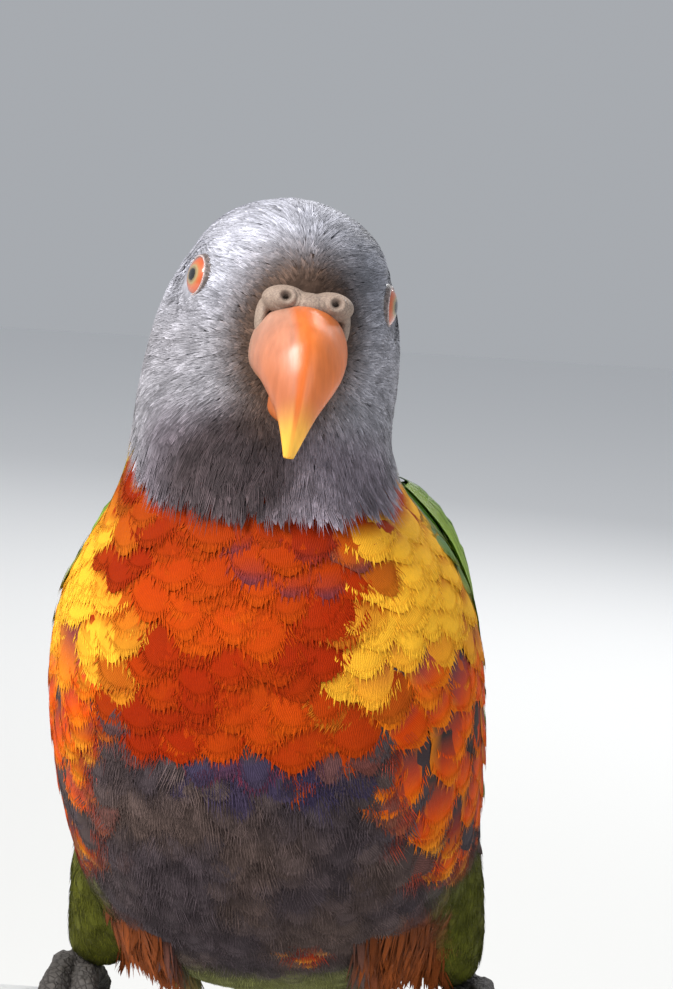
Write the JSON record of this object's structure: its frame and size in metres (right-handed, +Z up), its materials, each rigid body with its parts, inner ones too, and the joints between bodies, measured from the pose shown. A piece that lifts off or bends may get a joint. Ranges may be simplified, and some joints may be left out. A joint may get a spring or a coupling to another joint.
{
  "type": "rainbow lorikeet",
  "caption": "Still, life-size rainbow lorikeet perched upright on a short cut rail, its head turned a little aside, on a plain two-rod display stand.",
  "frame": {"origin": "centre of the display stand's underside, on the floor", "axes": "+Z up; the bird faces -Y, its left side is towards +X, and the rail that it grips runs along X"},
  "size_m": [0.124, 0.1628, 0.2477],
  "materials": {
    "hood": "grey-violet feathers, satin",
    "breast": "orange-red feathers, satin",
    "green": "green feathers, slight sheen",
    "tail": "green feathers, yellow beneath, slight sheen",
    "thigh": "yellow-green feathers, soft",
    "bill": "orange horn, smooth, yellow at the tip",
    "cere": "grey-brown bare skin, matt",
    "eye": "orange-red iris, dark pupil, wet",
    "foot": "grey scaly skin",
    "claw": "dark horn",
    "rail": "pale grey, satin",
    "stand": "dark, satin"
  },
  "bodies": {
    "root": {"head": "hood", "neck": "hood", "torso": "breast", "cere": "cere", "bill_upper": "bill", "bill_lower": "bill", "eye_left": "eye", "eye_right": "eye", "wing_left": "green", "wing_right": "green", "tail": "tail", "thigh_left": "thigh", "thigh_right": "thigh", "foot_left": "foot", "foot_right": "foot", "claw_left_1": "claw", "claw_left_2": "claw", "claw_left_3": "claw", "claw_left_4": "claw", "claw_right_1": "claw", "claw_right_2": "claw", "claw_right_3": "claw", "claw_right_4": "claw", "perch": "rail", "stand_base": "stand", "stand_rod_left": "stand", "stand_rod_right": "stand"}
  },
  "joints": []
}
